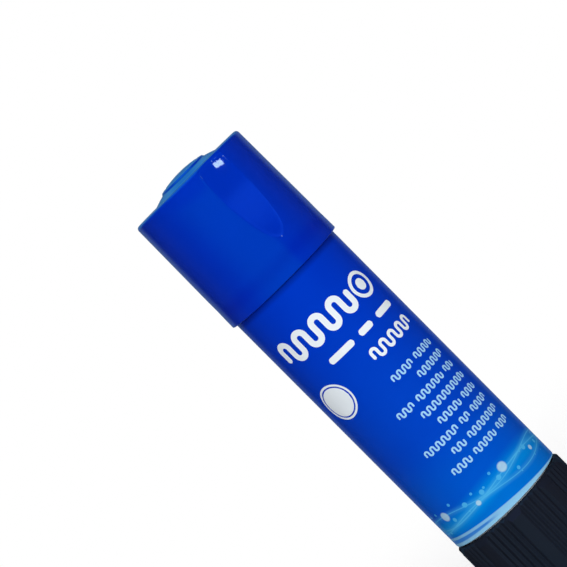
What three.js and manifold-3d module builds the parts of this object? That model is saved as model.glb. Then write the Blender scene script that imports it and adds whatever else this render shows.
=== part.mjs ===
// Twist-up glue stick with its cap on, standing on its knob.
// Millimetres, +Z up, origin at the centre of the knob's standing rim. The label's front faces -Y.
import * as THREE from 'three';
import { mergeVertices } from 'three/addons/utils/BufferGeometryUtils.js';
import Module from 'manifold-3d';

const wasm = await Module();
wasm.setup();

// Clearances shared by every fit
const fitGap = 0.3; // between faces that seat on each other
const slideGap = 0.25; // round pieces that slide or turn inside one another
const labelGap = 0.05; // the sleeve on its tube

// Barrel, the white moulded tube
const barrelDiameter = 23.6;
const barrelWall = 1.5;
const bodyLength = 56.03; // from its lower edge to the shoulder under the cap
const neckStep = 0.7; // the shoulder's width
const neckLength = 20.7;
const spigotStep = 1; // the lower stub is this much smaller than the body
const spigotWall = 1.2;
const spigotLength = 3;
const barrelFloor = 1.6;
const floorHoleDiameter = 7.8;
const boreLead = 1; // the cone that opens the stub into the bore
const guideRibCount = 4;
const guideRibWidth = 1.2;
const guideRibDepth = 0.4;
const neckBeadHeight = 0.2; // snap bead under the cap's lip
const neckBeadPlace = 2.2; // above the shoulder
const edgeBreak = 0.2; // small chamfer on moulded edges

// Label sleeve
const labelThickness = 0.15;
const labelBottomMargin = 0.7; // white plastic left bare below the label
const labelTopMargin = 0.2;

// Cap
const capSlip = 0.15; // between the neck and the top of the cap's wall
const capWall = 1.3;
const capDraft = 0.25; // the lip's radius is this much larger than the crown's
const capTopWall = 1.5;
const capCornerRadius = 0.57;
const capLipChamfer = 0.3;
const domeRadius = 7.6;
const domeRise = 1.45;
const discRadius = 5.2; // plain raised disc on the dome
const discRise = 0.3;
const scoopHalfWidth = 3.12; // thumb scoops, two opposite, measured at their middle
const scoopLength = 18.9; // from the crown to the tip
const scoopMiddle = 3.5; // the widest and deepest place, below the crown
const scoopHollow = 0.25; // how far the floor bows below a flat cut
const scoopTurn = 23; // degrees to the right of the label's front
const capRibCount = 8; // grip ribs inside the skirt
const capRibWidth = 0.8;
const capRibStart = 6; // above the lip
const capRibStop = 3; // below the ceiling

// Seal inside the cap
const sealThickness = 0.9;
const sealSocketDepth = 1.65; // from the disc to the cap's ceiling
const sealSocketWall = 0.9;
const plugDepth = 1.9; // how far its ring reaches into the neck
const plugWall = 0.8;
const capBossRadius = 5.1; // ring under the ceiling that the seal clips onto
const capBossWall = 1;

// Glue
const glueCrown = 3; // glue left above the spindle's bore
const glueCorner = 0.8;
const glueBoreGap = 0.55; // round the spindle

// Carrier, the cup that lifts the glue
const carrierRest = 0.5; // above the stop at the bottom of its travel
const carrierFloor = 1.6;
const cupDepth = 7.4;
const cupWall = 1.2;
const nutLength = 11.2;
const nutWall = 1.4;

// Spindle: a left-hand thread with two starts
const threadLead = 6;
const threadStarts = 2;
const threadRadius = 3.2;
const threadDepth = 0.9;
const threadCrest = 0.9; // crest width along the axis
const threadFlank = 0.5; // width of each sloping flank along the axis
const threadClearance = 0.3; // between spindle and nut, on the crest and on the flanks
const spindleHeadroom = 0.8; // below the end of the glue's bore
const collarRadius = 5.2;
const collarThickness = 1.5;
const shankRadius = 2.9; // over the corners of the hexagon that drives it
const barbLength = 1.8;
const barbLip = 0.3; // how far the barb catches past the hub's bore

// Knob
const knobHeight = 15.5;
const knobOverhang = 0.375; // the grip stands this much past the label
const gripGroupCount = 9; // groups of grooves, each between two smooth lands
const groovesPerGroup = 5;
const groovePitch = 6; // degrees
const grooveDepth = 0.375;
const grooveRoot = 1; // degrees across the foot of a groove
const ridgeCrest = 1.2; // degrees across the ridge between two grooves
const gripTurn = -3.5; // degrees to the right of the label's front, to a land's middle
const gripChamfer = 1.15; // height of the slope above the grip
const knobBand = 0.3; // plain band above the slope
const bandInset = 0.1; // the band lies this much inside the grooves
const knobBaseChamfer = 0.5;
const knobSkirtWall = 1.2;
const knobDeck = 1.5;
const hubRadius = 5;
const hubFoot = 4.3; // the hub stops this far above the standing rim
const webCount = 6;
const webThickness = 1.1;
const webInset = 1; // the webs stop short of the standing rim

// Facets
const roundFacets = 48;
const smallFacets = 24;
const gripFacets = 72;
const threadLayersPerTurn = 11;
const threadArcStep = 35; // degrees, the longest chord in the thread's section

// Radii that follow
const barrelRadius = barrelDiameter / 2;
const boreRadius = barrelRadius - barrelWall;
const neckRadius = barrelRadius - neckStep;
const spigotRadius = barrelRadius - spigotStep;
const spigotBoreRadius = spigotRadius - spigotWall;
const floorHoleRadius = floorHoleDiameter / 2;
const guideRibRadius = boreRadius - guideRibDepth;
const labelInnerRadius = barrelRadius + labelGap;
const labelRadius = labelInnerRadius + labelThickness;
const capInnerRadius = neckRadius + capSlip;
const capCrownRadius = capInnerRadius + capWall;
const capLipRadius = capCrownRadius + capDraft;
const capLipInnerRadius = capLipRadius - capWall;
const glueRadius = boreRadius - fitGap;
const carrierRadius = boreRadius - slideGap;
const cupInnerRadius = carrierRadius - cupWall;
const nutRadius = threadRadius + threadClearance + nutWall;
const glueBoreRadius = threadRadius + glueBoreGap;
const journalRadius = floorHoleRadius - fitGap;
const hubBoreRadius = shankRadius + fitGap;
const barbRadius = hubBoreRadius + barbLip;
const knobRadius = labelRadius + knobOverhang;
const knobRootRadius = knobRadius - grooveDepth;
const bandRadius = knobRootRadius - bandInset;
const knobCollarRadius = spigotRadius + slideGap;
const knobSkirtRadius = knobRootRadius - knobSkirtWall;
const plugRadius = boreRadius - fitGap;
const sealRadius = capInnerRadius - slideGap;
const sealSocketRadius = capBossRadius + slideGap;

// Heights that follow, from the floor up
const barrelBase = knobHeight + fitGap;
const spigotBase = barrelBase - spigotLength;
const floorTop = spigotBase + barrelFloor;
const boreBase = barrelBase + boreLead;
const shoulder = barrelBase + bodyLength;
const neckTop = shoulder + neckLength;
const deckTop = spigotBase - fitGap;
const deckBase = deckTop - knobDeck;
const barbTop = hubFoot - fitGap;
const barbTip = barbTop - barbLength;
const bandBase = knobHeight - knobBand;
const journalBase = deckTop + fitGap;
const collarBase = floorTop + fitGap;
const threadBase = collarBase + collarThickness;
const carrierBase = Math.max(boreBase, threadBase) + carrierRest;
const cupFloor = carrierBase + carrierFloor;
const cupRim = cupFloor + cupDepth;
const nutTop = carrierBase + nutLength;
const sealBase = neckTop + fitGap;
const sealTop = sealBase + sealThickness;
const plugBase = sealBase - plugDepth;
const capBase = shoulder + fitGap;
const ceiling = sealTop + sealSocketDepth;
const crown = ceiling + capTopWall;
const glueTop = plugBase - fitGap;
const glueBoreTop = glueTop - glueCrown;
const spindleTop = glueBoreTop - spindleHeadroom;
const guideRibTop = glueTop - fitGap;

// A three.js geometry as a closed solid that can be joined and cut
function solid(geometry) {
  const bare = new THREE.BufferGeometry();
  bare.setAttribute('position', geometry.getAttribute('position'));
  bare.setIndex(geometry.getIndex());
  const merged = mergeVertices(bare, 1e-4);
  const index = merged.getIndex().array;
  const corners = [];
  for (let i = 0; i < index.length; i += 3) {
    const [a, b, c] = [index[i], index[i + 1], index[i + 2]];
    if (a !== b && b !== c && c !== a) corners.push(a, b, c);
  }
  const vertProperties = new Float32Array(merged.getAttribute('position').array);
  return new wasm.Manifold(new wasm.Mesh({ numProp: 3, vertProperties, triVerts: new Uint32Array(corners) }));
}

// A profile of [radius, height] pairs turned about Z, listed so that its outside is on the left
function turned(profile, facets) {
  const points = profile.map(([radius, height]) => new THREE.Vector2(radius, height));
  return solid(new THREE.LatheGeometry(points, facets).rotateX(Math.PI / 2));
}

function ring(inner, outer, low, high, facets) {
  return turned([[inner, low], [outer, low], [outer, high], [inner, high], [inner, low]], facets);
}

// A box that stands on a radius, from inner to outer, turned to an angle in degrees
function radialBox(inner, outer, width, low, high, angle) {
  const box = new THREE.BoxGeometry(outer - inner, width, high - low);
  box.translate((inner + outer) / 2, 0, (low + high) / 2);
  return solid(box.rotateZ(THREE.MathUtils.degToRad(angle)));
}

function hexPrism(cornerRadius, low, high) {
  const prism = new THREE.CylinderGeometry(cornerRadius, cornerRadius, high - low, 6);
  return solid(prism.rotateX(Math.PI / 2).translate(0, 0, (low + high) / 2));
}

// Points of a quarter or longer round in a profile, angles in degrees from +radius towards +Z
function arc(centreRadius, centreHeight, radius, from, to, steps) {
  const points = [];
  for (let i = 0; i <= steps; i += 1) {
    const angle = THREE.MathUtils.degToRad(from + ((to - from) * i) / steps);
    points.push([centreRadius + radius * Math.cos(angle), centreHeight + radius * Math.sin(angle)]);
  }
  return points;
}

function spaced(count) {
  return Array.from({ length: count }, (unused, i) => (360 * i) / count);
}

// One turn of the thread's cross-section: [angle, radius] pairs, larger all round by the clearance
function threadSection(clearance) {
  const crestRadius = threadRadius + clearance;
  const rootRadius = crestRadius - threadDepth;
  const perStart = (2 * Math.PI) / threadStarts;
  const crestHalf = (Math.PI * (threadCrest + 2 * clearance)) / threadLead;
  const flank = (2 * Math.PI * threadFlank) / threadLead;
  const longestStep = THREE.MathUtils.degToRad(threadArcStep);
  const section = [];
  for (let start = 0; start < threadStarts; start += 1) {
    const middle = start * perStart;
    const spans = [
      [middle - crestHalf, middle + crestHalf, crestRadius],
      [middle + crestHalf + flank, middle + perStart - crestHalf - flank, rootRadius],
    ];
    for (const [from, to, radius] of spans) {
      const steps = Math.max(1, Math.ceil((to - from) / longestStep));
      for (let i = 0; i <= steps; i += 1) {
        section.push([from + ((to - from) * i) / steps, radius]);
      }
    }
  }
  return section;
}

// The threaded bar: its section climbs left-handed, and a tapered tip narrows it to the root
function threadedBar(low, high, clearance, tipTaper) {
  const section = threadSection(clearance);
  const layers = Math.ceil(((high - low) / threadLead) * threadLayersPerTurn);
  const tipRadius = threadRadius - threadDepth;
  const positions = [];
  for (let layer = 0; layer <= layers; layer += 1) {
    const height = low + ((high - low) * layer) / layers;
    const twist = (-2 * Math.PI * height) / threadLead;
    const limit = tipRadius + Math.max(0, high - height) * (tipTaper ? 1 : Infinity);
    for (const [angle, radius] of section) {
      const reach = tipTaper ? Math.min(radius, limit) : radius;
      positions.push(reach * Math.cos(angle + twist), reach * Math.sin(angle + twist), height);
    }
  }
  const count = section.length;
  const bottom = positions.push(0, 0, low) / 3 - 1;
  const top = positions.push(0, 0, high) / 3 - 1;
  const faces = [];
  for (let i = 0; i < count; i += 1) {
    const next = (i + 1) % count;
    faces.push(bottom, next, i);
    faces.push(top, layers * count + i, layers * count + next);
    for (let layer = 0; layer < layers; layer += 1) {
      const [a, b] = [layer * count + i, layer * count + next];
      const [d, c] = [a + count, b + count];
      faces.push(a, b, c, a, c, d);
    }
  }
  const geometry = new THREE.BufferGeometry();
  geometry.setAttribute('position', new THREE.Float32BufferAttribute(positions, 3));
  geometry.setIndex(faces);
  return solid(geometry);
}

function makeBarrel() {
  const bead = shoulder + neckBeadPlace;
  const beadRadius = neckRadius + neckBeadHeight;
  let barrel = turned([
    [floorHoleRadius, spigotBase],
    [spigotRadius - edgeBreak, spigotBase],
    [spigotRadius, spigotBase + edgeBreak],
    [spigotRadius, barrelBase],
    [barrelRadius - edgeBreak, barrelBase],
    [barrelRadius, barrelBase + edgeBreak],
    [barrelRadius, shoulder - edgeBreak],
    [barrelRadius - edgeBreak, shoulder],
    [neckRadius, shoulder],
    [neckRadius, bead - 2 * neckBeadHeight],
    [beadRadius, bead],
    [neckRadius, bead + 2 * neckBeadHeight],
    [neckRadius, neckTop - 2 * edgeBreak],
    [neckRadius - edgeBreak, neckTop],
    [boreRadius + edgeBreak, neckTop],
    [boreRadius, neckTop - edgeBreak],
    [boreRadius, boreBase],
    [spigotBoreRadius, boreBase - boreLead],
    [spigotBoreRadius, floorTop],
    [floorHoleRadius, floorTop],
    [floorHoleRadius, spigotBase],
  ], roundFacets);
  for (const angle of spaced(guideRibCount)) {
    const outer = boreRadius + (neckRadius - boreRadius) / 2;
    const rib = radialBox(guideRibRadius, outer, guideRibWidth, boreBase, guideRibTop, angle + 45);
    barrel = barrel.add(rib);
  }
  return barrel;
}

function makeLabel() {
  const low = barrelBase + labelBottomMargin;
  return ring(labelInnerRadius, labelRadius, low, shoulder - labelTopMargin, roundFacets);
}

// An ellipsoid that leaves a scoop of the wanted width, length and depth in the cap's side
function scoopCutter(angle) {
  const reach = 8; // its half thickness; only the curvatures below shape the scoop
  const flatCut = scoopHalfWidth ** 2 / (2 * capCrownRadius);
  const depth = flatCut + scoopHollow;
  const taper = (capDraft * scoopLength) / (crown - capBase);
  const acrossCurvature = (2 * scoopHollow) / scoopHalfWidth ** 2;
  const alongCurvature = (2 * (depth + taper)) / (scoopLength - scoopMiddle) ** 2;
  const cutter = new THREE.SphereGeometry(1, 112, 56).rotateX(Math.PI / 2);
  cutter.scale(reach, Math.sqrt(reach / acrossCurvature), Math.sqrt(reach / alongCurvature));
  cutter.translate(capCrownRadius - depth + reach, 0, crown - scoopMiddle);
  return solid(cutter.rotateZ(THREE.MathUtils.degToRad(angle)));
}

function makeCap() {
  const domeSphere = (domeRadius ** 2 + domeRise ** 2) / (2 * domeRise);
  const domeCentre = crown + domeRise - domeSphere;
  const angleAt = (radius) => THREE.MathUtils.radToDeg(Math.acos(radius / domeSphere));
  const bossInnerRadius = capBossRadius - capBossWall;
  const bossBase = sealTop + fitGap;
  const profile = [
    [0, ceiling + domeRise - edgeBreak],
    [bossInnerRadius * 0.75, ceiling + domeRise - 2 * edgeBreak],
    [bossInnerRadius, ceiling],
    [bossInnerRadius, bossBase],
    [capBossRadius, bossBase],
    [capBossRadius, ceiling],
    [capInnerRadius - edgeBreak, ceiling],
    [capInnerRadius, ceiling - edgeBreak],
    [capLipInnerRadius, capBase + capLipChamfer],
    [capLipInnerRadius + capLipChamfer, capBase],
    [capLipRadius - edgeBreak, capBase],
    [capLipRadius, capBase + edgeBreak],
    ...arc(capCrownRadius - capCornerRadius, crown - capCornerRadius, capCornerRadius, 0, 90, 3),
    ...arc(0, domeCentre, domeSphere, angleAt(domeRadius), angleAt(discRadius), 3),
    ...arc(0, domeCentre, domeSphere + discRise, angleAt(discRadius - discRise), 90, 4),
  ];
  let cap = turned(profile, roundFacets);
  for (const angle of spaced(capRibCount)) {
    const low = capBase + capRibStart;
    const outer = capInnerRadius + capWall / 2;
    const inner = neckRadius + (capInnerRadius - neckRadius) * (2 / 3);
    cap = cap.add(radialBox(inner, outer, capRibWidth, low, ceiling - capRibStop, angle));
  }
  for (const side of [0, 180]) {
    cap = cap.subtract(scoopCutter(side - 90 + scoopTurn));
  }
  return cap;
}

function makeSeal() {
  const socketOuterRadius = sealSocketRadius + sealSocketWall;
  const socketTop = ceiling - fitGap;
  return turned([
    [0, sealBase],
    [plugRadius - plugWall, sealBase],
    [plugRadius - plugWall, plugBase],
    [plugRadius - edgeBreak, plugBase],
    [plugRadius, plugBase + edgeBreak],
    [plugRadius, sealBase],
    [sealRadius, sealBase],
    [sealRadius, sealTop],
    [socketOuterRadius, sealTop],
    [socketOuterRadius, socketTop],
    [sealSocketRadius, socketTop],
    [sealSocketRadius, sealTop],
    [0, sealTop],
  ], smallFacets * 2);
}

function makeGlue() {
  const plugTop = cupRim + fitGap;
  let glue = turned([
    [0, glueBoreTop],
    [glueBoreRadius, glueBoreTop],
    [glueBoreRadius, nutTop + fitGap],
    [nutRadius + fitGap, nutTop + fitGap],
    [nutRadius + fitGap, cupFloor + fitGap],
    [cupInnerRadius - fitGap, cupFloor + fitGap],
    [cupInnerRadius - fitGap, plugTop],
    [glueRadius, plugTop],
    ...arc(glueRadius - glueCorner, glueTop - glueCorner, glueCorner, 0, 90, 3),
    [0, glueTop],
  ], roundFacets);
  for (const angle of spaced(guideRibCount)) {
    const width = guideRibWidth + 2 * fitGap;
    const groove = radialBox(guideRibRadius - fitGap, boreRadius, width, cupFloor, glueTop + fitGap, angle + 45);
    glue = glue.subtract(groove);
  }
  return glue;
}

function makeCarrier() {
  let carrier = turned([
    [0, carrierBase],
    [carrierRadius - edgeBreak, carrierBase],
    [carrierRadius, carrierBase + edgeBreak],
    [carrierRadius, cupRim],
    [cupInnerRadius, cupRim],
    [cupInnerRadius, cupFloor],
    [nutRadius, cupFloor],
    [nutRadius, nutTop],
    [0, nutTop],
  ], roundFacets);
  carrier = carrier.subtract(threadedBar(carrierBase - fitGap, nutTop + fitGap, threadClearance, false));
  for (const angle of spaced(guideRibCount)) {
    const width = guideRibWidth + 2 * slideGap;
    const inner = guideRibRadius - slideGap;
    const notch = radialBox(inner, boreRadius, width, carrierBase - fitGap, cupRim + fitGap, angle + 45);
    carrier = carrier.subtract(notch);
  }
  return carrier;
}

function makeSpindle() {
  const joined = 0.2; // each stretch runs this far into the next, so that they fuse
  const barb = turned([
    [0, barbTip],
    [shankRadius - barbLip, barbTip],
    [barbRadius, barbTop - edgeBreak],
    [barbRadius, barbTop],
    [0, barbTop],
  ], smallFacets);
  const journal = turned([
    [0, journalBase],
    [journalRadius, journalBase],
    [journalRadius, collarBase],
    [collarRadius, collarBase],
    [collarRadius, threadBase],
    [0, threadBase],
  ], smallFacets);
  const shank = hexPrism(shankRadius, barbTop - joined, journalBase + joined);
  const thread = threadedBar(threadBase - joined, spindleTop, 0, true);
  return barb.add(shank).add(journal).add(thread);
}

// The grip seen from above: smooth lands with a group of V-grooves between each two
function gripOutline() {
  const groupPitch = 360 / gripGroupCount;
  const firstGroove = (groupPitch - (groovesPerGroup - 1) * groovePitch) / 2;
  const mouthHalf = (groovePitch - ridgeCrest) / 2;
  const footHalf = grooveRoot / 2;
  const corners = [];
  for (const group of spaced(gripGroupCount)) {
    const land = gripTurn - 90 + group;
    corners.push([land, knobRadius]);
    for (let groove = 0; groove < groovesPerGroup; groove += 1) {
      const middle = land + firstGroove + groove * groovePitch;
      corners.push([middle - mouthHalf, knobRadius], [middle - footHalf, knobRootRadius]);
      corners.push([middle + footHalf, knobRootRadius], [middle + mouthHalf, knobRadius]);
    }
  }
  return new THREE.Shape(corners.map(([degrees, radius]) => {
    const angle = THREE.MathUtils.degToRad(degrees);
    return new THREE.Vector2(radius * Math.cos(angle), radius * Math.sin(angle));
  }));
}

function makeKnob() {
  const slope = gripChamfer / (knobRadius - bandRadius);
  const grip = solid(new THREE.ExtrudeGeometry(gripOutline(), { depth: knobHeight, bevelEnabled: false }));
  const blank = turned([
    [0, 0],
    [knobRadius - knobBaseChamfer, 0],
    [knobRadius + edgeBreak, knobBaseChamfer + edgeBreak],
    [knobRadius + edgeBreak, bandBase - gripChamfer - edgeBreak * slope],
    [bandRadius, bandBase],
    [bandRadius, knobHeight - edgeBreak],
    [bandRadius - edgeBreak, knobHeight],
    [0, knobHeight],
  ], gripFacets);
  const hollow = turned([
    [0, -fitGap],
    [knobSkirtRadius, -fitGap],
    [knobSkirtRadius, deckBase],
    [0, deckBase],
  ], roundFacets);
  const socket = turned([
    [0, deckTop],
    [knobCollarRadius, deckTop],
    [knobCollarRadius, knobHeight + fitGap],
    [0, knobHeight + fitGap],
  ], roundFacets);
  let knob = grip.intersect(blank).subtract(hollow).subtract(socket);
  knob = knob.add(turned([[0, hubFoot], [hubRadius, hubFoot], [hubRadius, deckTop], [0, deckTop]], smallFacets));
  for (const angle of spaced(webCount)) {
    const outer = knobSkirtRadius + knobSkirtWall / 2;
    knob = knob.add(radialBox(hubRadius / 2, outer, webThickness, webInset, deckTop - knobDeck / 2, angle));
  }
  const hubRoom = turned([[0, -fitGap], [hubRadius, -fitGap], [hubRadius, hubFoot], [0, hubFoot]], smallFacets);
  knob = knob.subtract(hubRoom);
  return knob.subtract(hexPrism(hubBoreRadius, 0, deckTop + fitGap));
}

function plastic(color, roughness) {
  return new THREE.MeshStandardMaterial({ color, roughness, metalness: 0 });
}

function mesh(name, piece, material) {
  const { numProp, vertProperties, triVerts } = piece.getMesh();
  const positions = new Float32Array((vertProperties.length / numProp) * 3);
  for (let i = 0; i < positions.length / 3; i += 1) {
    positions.set(vertProperties.subarray(i * numProp, i * numProp + 3), i * 3);
  }
  const geometry = new THREE.BufferGeometry();
  geometry.setAttribute('position', new THREE.BufferAttribute(positions, 3));
  geometry.setIndex(new THREE.BufferAttribute(new Uint32Array(triVerts), 1));
  geometry.computeVertexNormals();
  const made = new THREE.Mesh(geometry, material);
  made.name = name;
  return made;
}

const capBlue = plastic(0x0035be, 0.32);
const labelBlue = plastic(0x003cc8, 0.3);
const barrelWhite = plastic(0xe6ecf2, 0.45);
const sealWhite = plastic(0xf2f3f2, 0.4);
const glueCream = plastic(0xf1efe4, 0.6);
const carrierWhite = plastic(0xe9ebe8, 0.5);
const spindleWhite = plastic(0xe4e6e3, 0.45);
const knobBlack = plastic(0x1c202a, 0.5);

const tube = new THREE.Group();
tube.add(mesh('barrel', makeBarrel(), barrelWhite));
tube.add(mesh('label', makeLabel(), labelBlue));

const drive = new THREE.Group();
drive.add(mesh('twist_knob', makeKnob(), knobBlack));
drive.add(mesh('spindle', makeSpindle(), spindleWhite));

const lift = new THREE.Group();
lift.add(mesh('carrier', makeCarrier(), carrierWhite));
lift.add(mesh('glue_stick', makeGlue(), glueCream));

const lid = new THREE.Group();
lid.add(mesh('cap_shell', makeCap(), capBlue));
lid.add(mesh('cap_seal', makeSeal(), sealWhite));

const group = new THREE.Group();
group.add(tube, drive, lift, lid);

export default group;
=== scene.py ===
# A capped twist-up glue stick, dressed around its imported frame
import math

import bmesh
import bpy
from mathutils import Matrix, Quaternion, Vector, noise


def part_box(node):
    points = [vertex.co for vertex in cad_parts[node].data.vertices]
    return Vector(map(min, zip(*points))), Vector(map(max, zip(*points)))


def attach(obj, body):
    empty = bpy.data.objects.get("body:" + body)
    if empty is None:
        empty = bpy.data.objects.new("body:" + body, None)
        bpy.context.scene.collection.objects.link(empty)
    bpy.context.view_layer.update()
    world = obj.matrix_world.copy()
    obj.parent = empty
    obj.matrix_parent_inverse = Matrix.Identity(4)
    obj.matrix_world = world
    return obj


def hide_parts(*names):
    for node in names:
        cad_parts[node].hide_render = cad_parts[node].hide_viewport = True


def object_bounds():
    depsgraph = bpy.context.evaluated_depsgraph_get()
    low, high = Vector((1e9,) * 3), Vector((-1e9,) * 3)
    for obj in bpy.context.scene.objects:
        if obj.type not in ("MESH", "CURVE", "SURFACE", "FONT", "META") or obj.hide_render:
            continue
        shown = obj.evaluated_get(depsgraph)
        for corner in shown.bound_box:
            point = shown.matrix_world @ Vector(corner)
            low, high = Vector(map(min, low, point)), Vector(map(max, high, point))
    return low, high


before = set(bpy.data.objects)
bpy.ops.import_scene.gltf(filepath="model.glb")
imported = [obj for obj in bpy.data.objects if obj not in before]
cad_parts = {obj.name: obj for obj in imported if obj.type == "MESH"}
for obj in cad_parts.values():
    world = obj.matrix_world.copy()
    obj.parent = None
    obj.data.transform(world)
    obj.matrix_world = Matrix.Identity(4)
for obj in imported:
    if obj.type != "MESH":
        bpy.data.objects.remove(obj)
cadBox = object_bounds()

mm = 0.001
scene = bpy.context.scene
scene.view_settings.view_transform = "Standard"


def reach(node):
    # a node's foot, head and radius, in mm
    low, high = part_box(node)
    return low.z / mm, high.z / mm, high.x / mm


barrelFoot, neckTop, barrelRadius = reach("barrel")
labelFoot, labelHead, labelRadius = reach("label")
knobFoot, knobHead, _ = reach("twist_knob")
capFoot, capHead, capLipRadius = reach("cap_shell")
sealFoot, sealHead, sealRadius = reach("cap_seal")
glueFoot, glueHead, glueRadius = reach("glue_stick")
carrierFoot, carrierHead, carrierRadius = reach("carrier")
spindleFoot, spindleHead, collarRadius = reach("spindle")
print("frame loaded, heights and radii read")


# Clearances and forms that several pieces share, in mm and degrees
seatGap = 0.3
slideGap = 0.25
stick = {
    "bore": 10.3,
    "neck": 11.1,
    "neckBeadPlace": 2.2,
    "neckBead": 0.2,
    "spigot": 10.8,
    "spigotBore": 9.6,
    "floorHole": 3.9,
    "floor": 1.6,
    "ribs": 4,
    "ribTurn": 45,
    "ribWidth": 1.2,
    "ribDepth": 0.4,
    "shoulderMargin": 0.2,
    "bareEdge": 0.7,
    "sealPlug": 1.9,
    "sealPlate": 0.9,
}
thread = {"lead": 6, "starts": 2, "radius": 3.2, "depth": 0.9, "crest": 0.9, "flank": 0.5}
shoulder = labelHead + stick["shoulderMargin"]
barrelEdge = labelFoot - stick["bareEdge"]


# Turned and carved pieces
def profileWire(bm, corners, rowStep):
    # corners are (radius, height, rounding); rowStep is the longest edge, or gives it by radius and height
    points = [bm.verts.new((radius * mm, 0, height * mm)) for radius, height, rounding in corners]
    for pair in zip(points, points[1:]):
        bm.edges.new(pair)
    if corners[0][0] > 0:
        bm.edges.new((points[-1], points[0]))
    for rounding in sorted({corner[2] for corner in corners} - {0}):
        rounded = [point for point, corner in zip(points, corners) if corner[2] == rounding]
        bmesh.ops.bevel(
            bm, geom=rounded, offset=rounding * mm, offset_type="OFFSET",
            segments=4, profile=0.5, affect="VERTICES", material=-1,
        )
    for edge in list(bm.edges):
        middle = (edge.verts[0].co + edge.verts[1].co) / (2 * mm)
        longest = rowStep(middle.x, middle.z) if callable(rowStep) else rowStep
        cuts = math.ceil(edge.calc_length() / mm / longest) - 1
        if cuts > 0:
            bmesh.ops.subdivide_edges(bm, edges=[edge], cuts=cuts)


def pointsOf(geometry):
    return [item for item in geometry if isinstance(item, bmesh.types.BMVert)]


def turnPoints(bm, points, angle):
    turn = Matrix.Rotation(angle, 3, "Z")
    bmesh.ops.rotate(bm, verts=points, cent=(0, 0, 0), matrix=turn)


def turnAround(bm, count, sectors=8):
    # one sector is spun and the others are copies of it, which is much faster than a full spin
    bmesh.ops.spin(
        bm, geom=bm.verts[:] + bm.edges[:], cent=(0, 0, 0), axis=(0, 0, 1), dvec=(0, 0, 0),
        angle=math.tau / sectors, steps=count // sectors, use_merge=False,
    )
    sector = bm.verts[:] + bm.edges[:] + bm.faces[:]
    for i in range(1, sectors):
        points = pointsOf(bmesh.ops.duplicate(bm, geom=sector)["geom"])
        turnPoints(bm, points, math.tau * i / sectors)
    bmesh.ops.remove_doubles(bm, verts=bm.verts[:], dist=1e-7)


def columnsAround(count, marks):
    # azimuths of the columns: every mark, and the widest gaps filled until there are count
    marks = sorted({round(mark % 360, 4) for mark in marks})
    gaps = [[start, (end - start) % 360 or 360, 1] for start, end in zip(marks, marks[1:] + marks[:1])]
    for _ in range(count - len(marks)):
        widest = max(gaps, key=lambda gap: gap[1] / gap[2])
        widest[2] += 1
    return [start + width * i / parts for start, width, parts in gaps for i in range(parts)]


def evenly(count, first=0):
    return [first + 360 / count * i for i in range(count)]


def besideEdges(middles, half, offsets):
    # azimuths at both edges of each rib or groove, moved outwards by each of the offsets
    steps = [side * (half + offset) for side in (-1, 1) for offset in offsets]
    return [middle + step for middle in middles for step in steps]


def around(azimuth, radius, height):
    # azimuth is in degrees to the right of the label's front
    angle = math.radians(azimuth)
    return Vector((radius * math.sin(angle), -radius * math.cos(angle), height)) * mm


def carve(bm, columns, shape):
    # each column goes to its azimuth, and each point to the radius and height that shape gives
    step = 360 / len(columns)
    for point in bm.verts:
        radius = point.co.xy.length / mm
        turned = math.degrees(math.atan2(point.co.y, point.co.x)) % 360
        azimuth = columns[round(turned / step) % len(columns)]
        point.co = around(azimuth, *shape(azimuth, radius, point.co.z / mm))


def asTurned(azimuth, radius, height):
    return radius, height


def turnedMesh(corners, count, rowStep, shape=asTurned, marks=(0,)):
    bm = bmesh.new()
    profileWire(bm, corners, rowStep)
    turnAround(bm, count)
    carve(bm, columnsAround(count, marks), shape)
    return bm


def meshFrom(bm, name):
    mesh = bpy.data.meshes.new(name)
    bm.to_mesh(mesh)
    bm.free()
    return mesh


def addObject(name, data):
    made = bpy.data.objects.new(name, data)
    scene.collection.objects.link(made)
    return made


def makePiece(name, bm, material, body, node=None, sharpAngle=38):
    bmesh.ops.remove_doubles(bm, verts=bm.verts[:], dist=1e-7)
    bmesh.ops.recalc_face_normals(bm, faces=bm.faces[:])
    mesh = meshFrom(bm, name)
    mesh.shade_smooth()
    mesh.set_sharp_from_angle(angle=math.radians(sharpAngle))
    mesh.materials.append(material)
    piece = addObject(name, mesh)
    evened = piece.modifiers.new("evened_normals", "WEIGHTED_NORMAL")
    evened.keep_sharp = True
    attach(piece, body)
    if node:
        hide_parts(node)
    print(f"{name}: {len(mesh.polygons)} faces")


def clamped(value):
    return min(1, max(0, value))


def smoothStep(low, high, value):
    share = clamped((value - low) / (high - low))
    return share * share * (3 - 2 * share)


def nearest(azimuth, count, first=0):
    # degrees from the nearest of count evenly spaced places
    pitch = 360 / count
    return (azimuth - first + pitch / 2) % pitch - pitch / 2


def fromRib(azimuth):
    return abs(nearest(azimuth, stick["ribs"], stick["ribTurn"]))


def ribHalf(radius, spare=0):
    return math.degrees(math.asin((stick["ribWidth"] / 2 + spare) / radius))


def ribMarks(half, offsets):
    return besideEdges(evenly(stick["ribs"], stick["ribTurn"]), half, offsets)


def hexRadius(azimuth, cornerRadius):
    return cornerRadius * math.cos(math.radians(30)) / math.cos(math.radians(nearest(azimuth + 30, 6)))


def threadRadius(azimuth, height, clearance):
    # left-hand: the section turns clockwise as it climbs
    turned = nearest(azimuth + 360 * height / thread["lead"], thread["starts"])
    along = abs(turned) / 360 * thread["lead"]
    crestHalf = thread["crest"] / 2 + clearance
    fall = clamped((along - crestHalf) / thread["flank"])
    return thread["radius"] + clearance - thread["depth"] * fall


# Materials
white = (1, 1, 1, 1)
clouding = {"scale": 90, "glossSpread": 0.12}


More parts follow.
